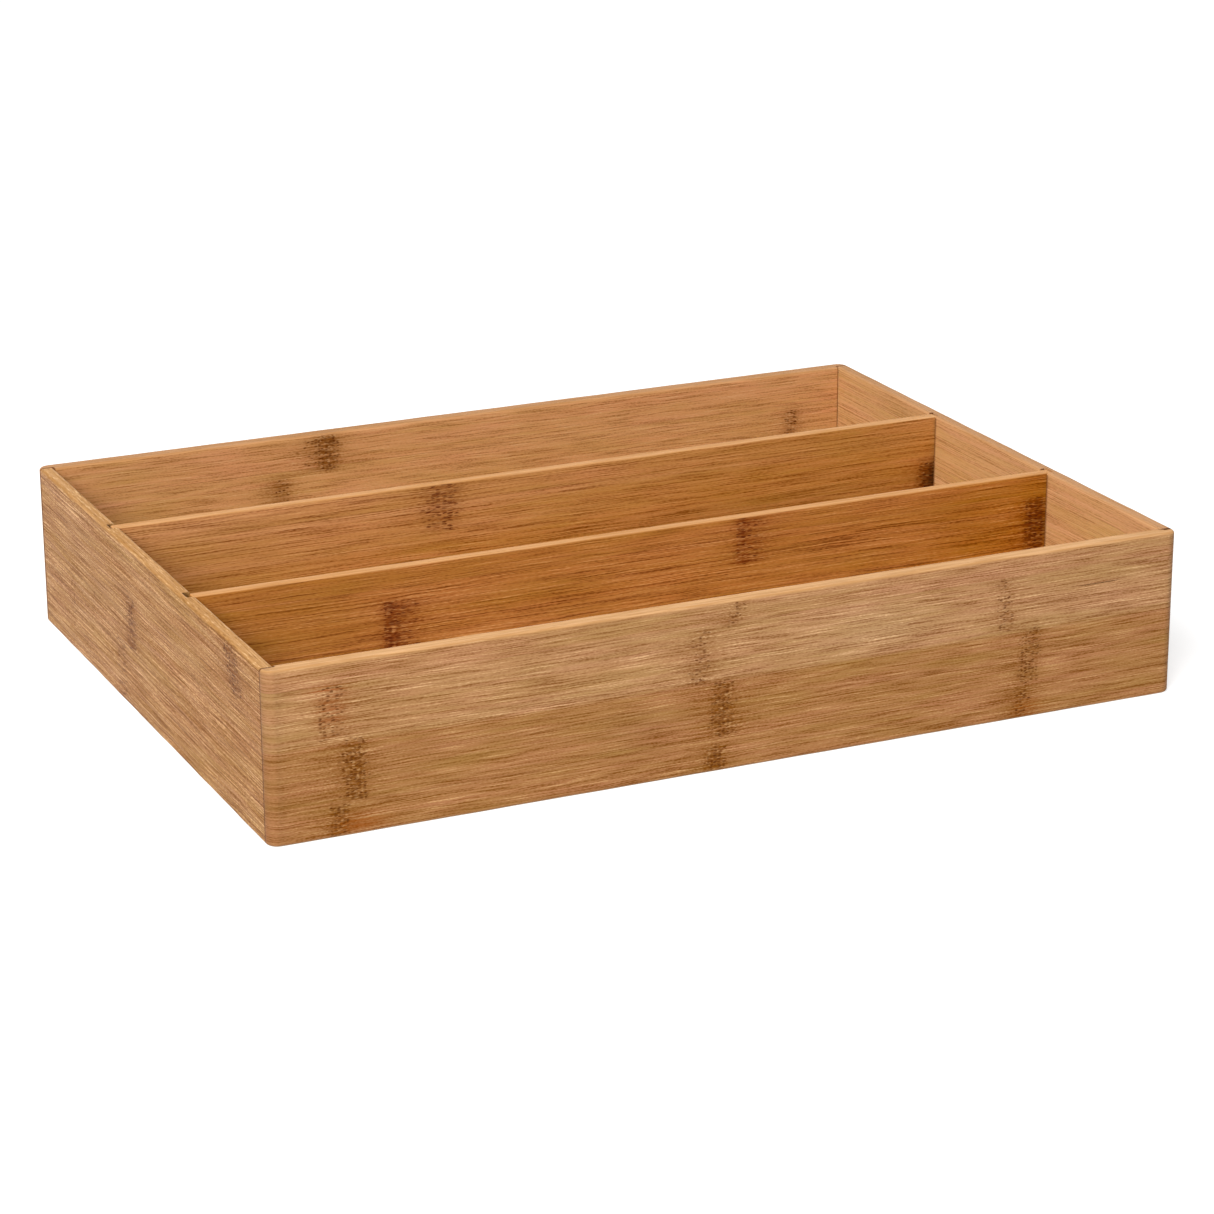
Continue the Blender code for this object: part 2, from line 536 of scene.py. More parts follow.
class Weave:
    """The fibres of one board: where they run, and their noise at several widths.

    The place across the grain is bent by a slow sway, a quick quiver and a curl at the knuckles
    before any noise is read, so that all widths run together. Each strip reads a stretch of its own.
    """

    # Bends: the distance from one to the next along and across the grain, and how far they reach
    SWAY = (110.0, 40.0, 0.5)
    QUIVER = (9.0, 5.0, 0.14)
    CURL = (2.4, 1.5, 0.25)

    # How far apart in the noise the strips read their stretches, along the grain and in depth
    STRIP_SHIFT = 900.0
    STRIP_DEPTH = 90.0

    def __init__(self, bench: Bench, finish: Bamboo) -> None:
        """Reads the place on the board, in millimetres, and works out the layers.

        Args:
            bench: The material in work.
            finish: The finish of the board.
        """
        self.bench = bench
        point = bench.node("ShaderNodeTexCoord", {}, "Object")
        point = bench.node("ShaderNodeMapping", {"Vector": point, "Scale": (MILLIMETRES,) * 3})
        split = bench.node("ShaderNodeSeparateXYZ", {0: point})
        self.place = [split.sibling(axis) for axis in (X, Y, Z)]
        self.along = bench.read("run")
        self.across = self.place[finish.grain.value[1]]
        self.layer = bench.read("layer")
        self.knuckle = bench.read("knuckle")
        self.halo = bench.read("halo")

        share = (self.across - finish.first_edge) * (1 / finish.strip_width)
        number = bench.math("FLOOR", share) + finish.seed
        self.chance = bench.node("ShaderNodeTexWhiteNoise", {"W": number}, "Value", noise_dimensions="1D")
        self.glue = abs(bench.math("FRACT", share + 0.5) - 0.5)

        curl = self.bend(number, *self.CURL) * bench.math("MAXIMUM", self.knuckle, self.halo)
        self.bent = self.across + self.bend(number, *self.SWAY) + self.bend(number, *self.QUIVER) + curl
        self.shifted = self.along + self.chance * self.STRIP_SHIFT
        self.deep = self.layer + self.chance * self.STRIP_DEPTH
        self.cloud = self.streak(9.0, 45.0, 2.0, 0.6)
        self.broad = self.streak(5.0, 120.0, 1.0, 0.8)
        self.fibre = self.streak(2.0, 90.0, 1.0, 0.9)
        self.fine = self.streak(0.90, 32.0 * finish.stretch, 1.0, 0.9)
        self.hair = self.streak(0.30, 15.0 * finish.stretch)
        self.pores = self.streak(0.30, 0.9 * finish.stretch)

    def bend(self, number: Signal, length: float, width: float, reach: float) -> Signal:
        """How far the fibres are bent: noise over the unbent place and the strip's number."""
        place = self.bench.vector(self.along * (1 / length), self.across * (1 / width), number)
        return self.bench.noise(place, 1.0) * reach

    def streak(self, width: float, length: float, detail: float = 0.0, rough: float = 0.5) -> Signal:
        """Noise over the bent place, with a feature every width by length millimetres."""
        run, row, depth = self.shifted * (1 / length), self.bent * (1 / width), self.deep * (1 / width)
        return self.bench.noise(self.bench.vector(run, row, depth), detail, rough)

    def mingle(self, **weights: float) -> Signal:
        """The sum of the named layers, each times its weight."""
        first, *others = (getattr(self, name) * weight for name, weight in weights.items())
        return sum(others, first)


class Coat:
    """The finish of one board in work. Each method lays one more layer over the colour."""

    # How far the strips' hues lie apart
    STRIP_TILT = 0.3

    # Fibres: how far clouds swing them, how much calmer they are under painted shade, how much
    # deeper a knuckle's halo makes the pores, and the sums over which they turn dark and light
    CLOUD_SWING = 0.15
    CALM = 1.2
    HALO_PORES = 0.8
    DARK_FIBRES = (0.20, -1.20)
    LIGHT_FIBRES = (0.20, 1.80)

    # Veins: the noise over which they fade in, and the sum that decides where there are any. Glue
    # lines fade in over shares of a strip's width.
    VEIN = (0.12, 0.0)
    VEINED = (0.5, -0.6)
    VEIN_STRENGTH = 0.11
    GLUE_LINE = (0.012, 0.002)
    GLUE_STRENGTH = 0.20

    # Knuckles: how much of the ground shows, how far it frays, what the band adds to it, and the
    # fraying over which rust fades in
    GROUND_STRENGTH = 0.70
    FRAY = 0.8
    BAND_GROUND = 0.15
    RUSTED = (0.5, -0.6)

    # Their dots: length and width in millimetres, how one fades in over its cell and with the
    # cell's chance, and the strength of the faintest
    DOT_LENGTH = 1.50
    DOT_WIDTH = 0.50
    DOT = (0.66, 0.28)
    DOT_CHANCE = (1.05, 1.25)
    FAINTEST_DOT = 0.52

    # Their pale gleams, which also fade in with the knuckle's reach
    GLEAM = (0.60, 0.25)
    GLEAM_CHANCE = (0.60, 0.80)
    GLEAM_REACH = (0.20, 0.90)
    GLEAM_STRENGTH = 0.5

    # Tone: how much broad fibres add to it, what a unit of it does to the colour's value and takes
    # from its saturation, and the lowest tone that still changes the saturation
    TONE_VARIES = 0.25
    TONE_VALUE = 0.10
    TONE_PALENESS = 0.05
    TONE_FLOOR = -0.9

    # Rims: the sum over which their lines turn light, the width and length of a fleck in
    # millimetres, and the noise over which pale and dark flecks fade in
    RIM_LINES = (-1.2, 1.2)
    FLECK_SIZE = (0.45, 4.0)
    PALE_FLECKS = (0.35, 0.95)
    DARK_FLECKS = (-0.35, -0.95)

    # The depth of the pits in the varnish over the dots, beside the weights of the fibres
    PIT = 0.8

    # How much the rims and the unvarnished wood with its painted shade cover, and the varnish's index of
    # refraction
    RIM_STRENGTH = 0.96
    RAW_AND_SHADE_STRENGTH = 0.92
    VARNISH_IOR = 1.46

    def __init__(self, finish: Bamboo) -> None:
        """Starts the material with the wood's mean colour.

        Args:
            finish: The finish to build.
        """
        self.finish = finish
        self.tones = finish.tones
        self.bench = Bench(bpy.data.materials.new(finish.name))
        self.weave = weave = Weave(self.bench, finish)
        tilt = (weave.chance - 0.5) * self.STRIP_TILT
        hue = 0.5 + weave.mingle(cloud=0.5, fibre=0.3) + tilt + self.bench.read("warmth")
        self.colour = self.bench.mix(hue, linear(self.tones.olive), linear(self.tones.rosy))

    def lay(self, share: Number, colour: Colour) -> None:
        """Blends a colour over what is there."""
        self.colour = self.bench.mix(share, self.colour, linear(colour))

    def adjust(self, value: Signal, saturation: Number = 1.0) -> None:
        """Multiplies the colour's value and its saturation."""
        inputs = {"Saturation": saturation, "Value": value, "Color": self.colour}
        self.colour = self.bench.node("ShaderNodeHueSaturation", inputs)

    def fibres(self) -> None:
        """Light and dark fibres, calmer under painted shade, then veins and glue lines."""
        weave, finish = self.weave, self.finish
        calm = 1.0 - self.bench.read("shade") * self.CALM
        swing = (1.0 + weave.cloud * self.CLOUD_SWING) * calm * finish.contrast
        bands = finish.bands
        lines = weave.mingle(broad=0.04 * bands, fibre=0.09 * bands, fine=0.12, hair=finish.hair)
        lines += weave.pores * (finish.pores + weave.halo * self.HALO_PORES)
        lines *= swing
        self.lay(lines.step(self.DARK_FIBRES), self.tones.dark)
        self.lay(lines.step(self.LIGHT_FIBRES), self.tones.light)
        veined = (weave.broad + weave.cloud).step(self.VEINED)
        vein = abs(weave.streak(2.0, 90.0)).step(self.VEIN)
        self.lay(vein * veined * self.VEIN_STRENGTH, self.tones.vein)
        self.lay(weave.glue.step(self.GLUE_LINE, (0.0, self.GLUE_STRENGTH)), self.tones.vein)

    def knuckles(self) -> None:
        """The knuckles: a brown ground that frays along the fibres, red-brown streaks beside it,
        and dark and pale dots in the band, each in a cell with three chances of its own."""
        bench, weave, tones = self.bench, self.weave, self.tones
        ragged = weave.mingle(fibre=0.4, fine=0.5, hair=0.5)
        frayed = weave.halo - ragged * weave.halo * self.FRAY + weave.knuckle * self.BAND_GROUND
        self.lay(bench.math("MULTIPLY", frayed, self.GROUND_STRENGTH, clamp=True), tones.ground)
        self.lay(ragged.step(self.RUSTED) * bench.read("rust"), tones.rust)

        run = weave.along * (1 / (self.DOT_LENGTH * self.finish.stretch))
        inputs = {"Scale": 1.0, "Vector": bench.vector(run, weave.bent * (1 / self.DOT_WIDTH), 0.0)}
        cell = bench.node("ShaderNodeTexVoronoi", inputs, "Distance", voronoi_dimensions="2D", feature="F1")
        red = bench.node("ShaderNodeSeparateColor", {0: cell.sibling("Color")})
        dark, pale, depth = (red.sibling(channel) for channel in range(3))
        reach = weave.mingle(knuckle=0.60, halo=0.30)
        strength = self.FAINTEST_DOT + depth * (1.0 - self.FAINTEST_DOT)
        dot = cell.step(self.DOT) * (dark + reach).step(self.DOT_CHANCE) * strength
        self.lay(dot, tones.speck)
        near = reach.step(self.GLEAM_REACH, (0.0, self.GLEAM_STRENGTH))
        gleam = cell.step(self.GLEAM) * pale.step(self.GLEAM_CHANCE) * near
        self.lay(gleam * (1.0 - dot), tones.light)
        self.dot = dot

    def grade(self) -> None:
        """Lightens or darkens the strips and patches, as the tone that the mesh carries says. The
        lighter they get, the paler."""
        tone = self.bench.read("tone") + self.weave.broad * self.TONE_VARIES
        paler = self.bench.math("MAXIMUM", tone, self.TONE_FLOOR) * self.TONE_PALENESS
        self.adjust(1.0 + tone * self.TONE_VALUE, 1.0 - paler)

    def rims(self) -> None:
        """The rims: sanding has opened a paler wood with long quiet lines, and flecks on some."""
        bench, weave, tones = self.bench, self.weave, self.tones
        face = self.colour
        lines = weave.mingle(fibre=1.0, cloud=1.0, fine=1.2, hair=1.2)
        self.colour = bench.mix(lines.step(self.RIM_LINES), linear(tones.rim_dark), linear(tones.rim))
        if self.finish.flecks:
            grains = weave.streak(*self.FLECK_SIZE, 1.0) + weave.mingle(fine=0.4)
            self.lay(grains.step(self.PALE_FLECKS, (0.0, self.finish.flecks)), tones.fleck)
            self.lay(grains.step(self.DARK_FLECKS, (0.0, self.finish.flecks)), tones.vein)
        self.colour = bench.mix(bench.read("rim") * self.RIM_STRENGTH, face, self.colour)

    def paint_shade(self) -> None:
        """Lays painted shade on the rounded edges and corners, and wherever a mark paints it."""
        self.adjust(1.0 - self.bench.read("shade"))

    def joints(self, seams: tuple[SeamAndShade, ...]) -> None:
        """The glued joints and the lines of painted shade, as dark lines, and the unvarnished wood inside
        the cuts, darkened as painted shade.

        Args:
            seams: The joints of the board, and its lines of painted shade.
        """
        bench, weave = self.bench, self.weave
        shown = 0.0
        for seam in seams:
            reach = abs(weave.place[seam.axis]) if seam.mirrored else weave.place[seam.axis]
            line = abs(reach - seam.place * MILLIMETRES).step((seam.width * MILLIMETRES, 0.0)) * seam.strength
            other = abs(weave.place[seam.gate_axis])
            for value, (low, high) in ((other, seam.gate), (weave.layer, seam.depths)):
                line *= bench.math("GREATER_THAN", value, low * MILLIMETRES)
                line *= bench.math("LESS_THAN", value, high * MILLIMETRES)
            shown = bench.math("MAXIMUM", shown, line)
        # the glued joints, and the painted shade lines of a tight board
        self.lay(shown, self.tones.joint_and_shade)
        # unvarnished wood in the cuts, with painted shade
        self.lay(bench.read("raw_and_shade") * self.RAW_AND_SHADE_STRENGTH, self.tones.raw_and_shade)

    def varnish(self) -> None:
        """The satin varnish, over a fine relief of fibres and of pits at the dots."""
        bench, weave, finish = self.bench, self.weave, self.finish
        height = weave.mingle(fibre=0.35, fine=0.4) - self.dot * self.PIT
        relief = {"Strength": 1.0, "Distance": finish.relief, "Height": height}
        inputs = {
            "Base Color": self.colour,
            "Roughness": weave.fine.step((-1.0, 1.0), finish.roughness),
            "IOR": self.VARNISH_IOR,
            "Specular IOR Level": finish.gloss,
            "Normal": bench.node("ShaderNodeBump", relief),
        }
        bench.close("ShaderNodeOutputMaterial", bench.node("ShaderNodeBsdfPrincipled", inputs))

    def build(self, seams: tuple[SeamAndShade, ...]) -> bpy.types.Material:
        """Lays every layer in turn.

        Args:
            seams: The joints of the board, and its lines of painted shade.

        Returns:
            The material.
        """
        self.fibres()
        self.knuckles()
        self.grade()
        self.rims()
        self.paint_shade()
        self.joints(seams)
        self.varnish()
        return self.bench.owner


@dataclass
class Board:
    """A board in the place of one CAD node. Its faces are worked out in its own three directions:
    along the grain, across the face, and depth under the outer face."""

    node: str
    finish: Bamboo
    body: str = "tray"
    slot: str = ""
    outside: Outside = Outside.LOW
    ease: float = 0.0010
    corner: float = 0.0
    inner_corner: float = 0.0
    spacing: float = 0.0011
    pale_mouth: float = 0.0
    knuckles: tuple[Knuckle, ...] = ()
    marks: tuple[Patch | Strip, ...] = ()
    slits: tuple[Slit, ...] = ()

    def __post_init__(self) -> None:
        """Reads the board's box from the frame, and works out its joinery from its neighbours."""
        low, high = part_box(self.node)
        axes = self.finish.grain.value
        self.along, self.across, self.through = ((low[axis], high[axis]) for axis in axes)
        self.thickness = self.through[1] - self.through[0]
        self.cuts = self.joinery()
        self.seams = self.joint_and_shade_lines()

    def joinery(self) -> tuple[Cut, ...]:
        """The cuts in the inner face: none on a plain board."""
        return ()

    def joint_and_shade_lines(self) -> tuple[SeamAndShade, ...]:
        """The joints that show as dark lines: none on a plain board."""
        return ()

    def inner_face(self) -> float:
        """How far the inner face lies from the tray's middle."""
        return max(abs(side) for side in self.through) - self.thickness

    def place(self, along: np.ndarray, across: np.ndarray, depth: np.ndarray) -> np.ndarray:
        """Points of the frame.

        Args:
            along: Places along the grain.
            across: Places across the face.
            depth: Depths under the outer face.

        Returns:
            An array with three numbers for each point.
        """
        low, high = self.through
        through = low + depth if self.outside is Outside.LOW else high - depth
        points = np.empty((*np.broadcast(along, across, depth).shape, 3))
        for axis, values in zip(self.finish.grain.value, (along, across, through)):
            points[..., axis] = values
        return points

    def stations(self) -> tuple[np.ndarray, np.ndarray]:
        """Places along the grain, and how far round the end's corner each one is.

        Round a corner of radius r the place is the end less r(1 - sin t), as t goes from 0 to a
        quarter turn.

        Returns:
            The places and their angles t.
        """
        low, high = self.along
        stops = [place for cut in self.cuts for place in walls(cut.along)]
        stops += [place for slit in self.slits for place in slit.along]
        inside = [place for place in stops if low + self.corner < place < high - self.corner]
        middle = graded([low + self.corner, high - self.corner, *inside], self.spacing)
        if not self.corner:
            return middle, np.zeros_like(middle)
        quarter = np.linspace(0.0, math.pi / 2, CORNER_STEPS + 1)[1:]
        reach = self.corner * (1.0 - np.sin(quarter))
        places = np.concatenate([(low + reach)[::-1], middle, high - reach])
        return places, np.concatenate([quarter[::-1], np.zeros_like(middle), quarter])

    def rungs(self) -> tuple[np.ndarray, np.ndarray]:
        """Places across the face, and how far round an eased edge each one is.

        Returns:
            The places and their angles: -90 to 0 degrees at the lower edge, and 0 to 90 at the
            upper one.
        """
        low, high = self.across
        stops = [place for cut in self.cuts for place in walls(cut.across)]
        stops += [place for slit in self.slits for place in slit.rungs()]
        margin = self.ease + WALL_STEP
        inside = [place for place in stops if low + margin < place < high - margin]
        flat = graded([low + self.ease, high - self.ease, *inside], self.spacing)
        quarter = np.linspace(0.0, math.pi / 2, EASE_STEPS + 1)[1:]
        places = np.concatenate([np.full(EASE_STEPS, low), flat, np.full(EASE_STEPS, high)])
        return places, np.concatenate([-quarter[::-1], np.zeros_like(flat), quarter])

    def depths(self, along: np.ndarray, across: np.ndarray) -> np.ndarray:
        """The deepest cut under the inner face at each place."""
        none = np.zeros(np.broadcast(along, across).shape)
        return np.maximum.reduce([none, *(cut.depth * cut.holds(along, across) for cut in self.cuts)])

    def hollows(self, along: np.ndarray, across: np.ndarray) -> np.ndarray:
        """How far sanding has hollowed a face, from 0 to 0.08 mm: two sine waves that cross, and a
        slanted one."""
        (a, b), phase = CROSSED_WAVES, self.finish.seed
        waves = np.sin(along * a + phase) * np.sin(across * b + 2 * phase)
        return HOLLOW * (2.0 + waves + np.sin(along * SLANTED_WAVE[0] + across * SLANTED_WAVE[1]))

    def sheets(self) -> tuple[np.ndarray, np.ndarray]:
        """The inner and the outer sheet.

        An eased edge of radius r lifts a rung r(1 - sin a) short of the edge and sets it r(1 - cos a)
        in from the face, square to the board's outline. The outline turns round the corner of
        radius c, where it lies c(1 - cos t) under the face: a is the rung's angle, t the station's.

        Returns:
            Two arrays of points, stations by rungs by 3.
        """
        stations, turn = (values[:, None] for values in self.stations())
        rows, edge = (values[None, :] for values in self.rungs())
        low, high = self.across
        waves = np.sin(stations * EASE_WAVES[0] + self.finish.seed) * np.sin(stations * EASE_WAVES[1])
        radius = self.ease * (1.0 + EASE_VARIES * waves)
        lift = radius * (1.0 - np.abs(np.sin(edge)))
        inset = radius * (1.0 - np.cos(edge))
        across = np.where(edge > 0, high - lift, np.where(edge < 0, low + lift, rows))
        along = stations - np.sign(stations) * inset * np.sin(turn)
        in_joint = np.zeros(stations.shape, bool)
        for cut in self.cuts:
            if cut.across[0] < low and cut.across[1] > high:
                in_joint |= within(stations, cut.along)

        sink = sum((slit.sink(along, across) for slit in self.slits), np.zeros_like(across))
        round_outside = self.corner * (1.0 - np.cos(turn))
        outer_depth = round_outside + inset * np.cos(turn) + self.hollows(along, across) + sink
        round_inside = self.inner_corner * (1.0 - np.cos(turn))
        inner_inset = np.where(in_joint, 0.0, inset * np.cos(turn) if self.inner_corner else inset)
        inner_depth = round_inside + inner_inset + self.hollows(along + INNER_SHIFT, across)
        inner_depth = inner_depth + self.depths(stations, rows)
        return self.place(along, across, self.thickness - inner_depth), self.place(along, across, outer_depth)

    def fibre_place(self, along: np.ndarray, depth: np.ndarray) -> tuple[np.ndarray, np.ndarray]:
        """Leads the fibres on over the rounded end corners, in layers that follow the skin.

        Where the outline has turned by t, the skin lies radius times (1 - cos t) under the flat
        face. The fibres gain half of that in length, which keeps them as long as on the face.

        Args:
            along: Places along the grain.
            depth: Depths under the outer face.

        Returns:
            How far along its fibres each point is, and in which layer.
        """
        if not self.corner:
            return along, depth
        flat_end = self.along[1] - self.corner
        turn = np.arcsin(np.clip((np.abs(along) - flat_end) / self.corner, 0.0, 1.0))
        sunk = self.corner * (1.0 - np.cos(turn))
        return along + np.sign(along) * sunk / 2, depth - sunk

    def paint(self, mesh: bpy.types.Mesh) -> None:
        """Writes the marks onto the mesh's points, as numbers that the finish reads.

        The rim's share is 1 on the edges and falls to 0 where the eased edge meets the face. The share of
        unvarnished wood with painted shade is 0 at a cut's mouth and 1 on its floor. An outer eased edge
        gets painted shade, most towards its middle: its distances from both faces add up to the radius at
        its two ends, and to less between them.

        Args:
            mesh: The board's mesh.
        """
        points = np.empty(len(mesh.vertices) * 3)
        mesh.vertices.foreach_get("co", points)
        along, across, through = (points.reshape(-1, 3)[:, axis] for axis in self.finish.grain.value)
        inside = self.through[1] - through if self.outside is Outside.LOW else through - self.through[0]
        outside = self.thickness - inside
        to_edge = np.minimum(across - self.across[0], self.across[1] - across)
        none = raw_and_shade = np.zeros_like(along)
        # The cuts' unvarnished wood gets painted shade, darker with depth under the inner face
        for cut in self.cuts:
            here = cut.holds(along, across) & (inside < cut.depth + FLOOR_SLACK)
            raw_and_shade = np.maximum(raw_and_shade, here * smooth_step(0.0, RAW_AND_SHADE_DEPTH, inside))
        if self.pale_mouth:
            raw_and_shade = raw_and_shade * smooth_step(PALE_CORE * self.pale_mouth, self.pale_mouth, to_edge)
        rounded = np.clip((self.ease - to_edge - outside) / (HALF_ROUND * self.ease), 0.0, 1.0)
        run, layer = self.fibre_place(along, outside)
        spot = along * MILLIMETRES, across * MILLIMETRES
        weights = [(mark, mark.weight(*spot)) for mark in self.marks]
        tone, warmth, rust, shade = (
            sum((getattr(mark, kind) * weight for mark, weight in weights), none)
            for kind in ("tone", "warmth", "rust", "shade")
        )
        layers = {
            "knuckle": np.clip(sum((knuckle.band(*spot) for knuckle in self.knuckles), none), 0, 1),
            "halo": np.clip(sum((knuckle.shade(*spot) for knuckle in self.knuckles), none), 0, 1),
            "tone": tone,
            "warmth": warmth,
            "rust": np.clip(rust, 0, 1),
            # painted shade: from the marks, and on the outer eased edges
            "shade": shade + EDGE_SHADE * rounded,
            "run": run * MILLIMETRES,
            "layer": layer * MILLIMETRES,
            "rim": 1.0 - smooth_step(self.ease * RIM_FADE[0], self.ease * RIM_FADE[1], to_edge),
            "raw_and_shade": raw_and_shade,
        }
        for name, values in layers.items():
            mesh.attributes.new(name, "FLOAT", "POINT").data.foreach_set("value", values.astype(np.float32))

    def build(self) -> bpy.types.Object:
        """Makes the board, dresses it and puts it in its node's place.

        Returns:
            The board's object.
        """
        thing = skin(f"{self.node}_surface", *self.sheets())
        self.paint(thing.data)
        thing.data.materials.append(Coat(self.finish).build(self.seams))
        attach(thing, self.body)
        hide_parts(self.node)
        log.info("%s: %d faces, rides on %s", thing.name, len(thing.data.polygons), self.body)
        return thing


def panel_groove(along: int, across: int) -> tuple[Span, Span, float]:
    """The groove that holds the bottom panel.

    Args:
        along: The axis that the groove follows.
        across: The axis that its depth lies on.

    Returns:
        Its stretch, its height above the table, and how far from the middle it reaches.
    """
    low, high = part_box("bottom_panel")
    stretch = (low[along] - GLUE_GAP, high[along] + GLUE_GAP)
    return stretch, (low.z - GLUE_GAP, high.z + GLUE_GAP), high[across] + GLUE_GAP


@dataclass
class LongBoard(Board):
    """The front or the rear board: a rabbet at each end for a side board, and a stopped groove."""

    slot: str = "bamboo_long_board"
    corner: float = 0.0040
    chips: tuple[Cut, ...] = ()

    def shoulder(self) -> float:
        """How far from the middle the rabbets start."""
        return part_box("right_side_board")[0].x - TIGHT_CORNER_GAP

    def joinery(self) -> tuple[Cut, ...]:
        """The two rabbets and the groove."""
        low, high = whole(self.along)
        rabbet = self.thickness - LIP_THICKNESS - GLUE_GAP + TIGHT_CORNER_GAP
        start = self.shoulder()
        stretch, height, reach = panel_groove(X, Y)
        return (
            Cut((low, -start), whole(self.across), rabbet),
            Cut((start, high), whole(self.across), rabbet),
            Cut(stretch, height, reach - self.inner_face()),
            *self.chips,
        )

    def joint_and_shade_lines(self) -> tuple[SeamAndShade, ...]:
        """The lip's seam with the side board, and the seam at the rabbet's shoulder."""
        lip, start = self.inner_face() + self.thickness - LIP_THICKNESS, self.shoulder()
        return SeamAndShade(Y, lip, X, (start, FAR)), SeamAndShade(X, start, Y, (0.0, lip))


@dataclass
class SideBoard(Board):
    """The left or the right board: a full-height dado for each divider, and a groove. On a tight
    board the dividers leave no gap, and painted shade draws a dark line where each of them stands."""

    # The lines of painted shade on a tight board: their strength, the width of the one in a dado's
    # mouth, which ends below the rim, and of the one behind the divider, which starts at a depth under
    # the outer face
    SHADE_STRENGTH = 0.85
    MOUTH_SHADE = 0.0016
    MOUTH_BELOW_RIM = 0.0008
    REAR_SHADE = 0.0010
    REAR_DEPTH = 0.0032

    # Painted shade in the open gap at the top of its front end: its strength and width, how far down and how
    # deep it goes
    OPEN_SHADE_STRENGTH = 0.9
    OPEN_SHADE = 0.0014
    OPEN_HEIGHT = 0.0035
    OPEN_DEPTH = 0.0037

    slot: str = "bamboo_side_board"
    tight: bool = False

    def joinery(self) -> tuple[Cut, ...]:
        """The groove and the two dadoes."""
        _, height, reach = panel_groove(Y, X)
        cuts = [Cut(whole(self.along), height, reach - self.inner_face())]
        play = TIGHT_REAR_PLAY if self.tight else DADO_REAR_PLAY
        for divider in DIVIDER_NODES:
            low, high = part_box(divider)
            depth = high.x + TIGHT_END_PLAY - self.through[0] if self.tight else DADO_DEPTH
            cuts.append(Cut((low.y - DADO_FRONT_PLAY, high.y + play), whole(self.across), depth))
        return tuple(cuts)

    def line(self, place: float, heights: Span, width: float, strength: float, depths: Span) -> SeamAndShade:
        """A line of painted shade across the grain, between two heights and two depths."""
        return SeamAndShade(Y, place, Z, heights, width, strength, False, depths)

    def joint_and_shade_lines(self) -> tuple[SeamAndShade, ...]:
        """The seams at the two ends. A tight board also gets painted shade in the mouths of its dadoes
        and behind the dividers, and in the open gap at the top of its front end.

        Returns:
            The lines.
        """
        seams = [SeamAndShade(Y, self.along[1], X, (0.0, FAR))]
        if self.tight:
            rim = self.across[1]
            below = 0.0, rim - self.MOUTH_BELOW_RIM
            inner_half, behind = (self.thickness / 2, FAR), (self.REAR_DEPTH, FAR)
            for mouth, rear in (dado.along for dado in self.cuts[1:]):
                seams.append(self.line(mouth, below, self.MOUTH_SHADE, self.SHADE_STRENGTH, inner_half))
                seams.append(self.line(rear, (0.0, FAR), self.REAR_SHADE, self.SHADE_STRENGTH, behind))
            top, outer = (rim - self.OPEN_HEIGHT, FAR), (-FAR, self.OPEN_DEPTH)
            seams.append(self.line(self.along[0], top, self.OPEN_SHADE, self.OPEN_SHADE_STRENGTH, outer))
        return tuple(seams)


@dataclass
class Divider(Board):
    """A loose divider, eased all round."""

    slot: str = "bamboo_divider"
    ease: float = 0.0006
    corner: float = 0.0006
    inner_corner: float = 0.0006


@dataclass
class Panel(Board):
    """The thin panel that closes the bottom."""

    slot: str = "bamboo_panel"
    ease: float = 0.0002
    spacing: float = 0.002


@dataclass(frozen=True)
class Softbox:
    """A square area lamp that faces the tray."""

    name: str
    position: tuple[float, float, float]
    side: float
    power: float

    def build(self, target: Vector) -> None:
        """Hangs the lamp and turns it to the target.

        Args:
            target: The point that it faces.
        """
        lamp = bpy.data.lights.new(self.name, "AREA")
        lamp.shape = "SQUARE"
        lamp.size = self.side
        lamp.energy = self.power
        thing = bpy.data.objects.new(self.name, lamp)
        thing.location = self.position
        thing.rotation_euler = (target - Vector(self.position)).to_track_quat("-Z", "Y").to_euler()
        bpy.context.scene.collection.objects.link(thing)


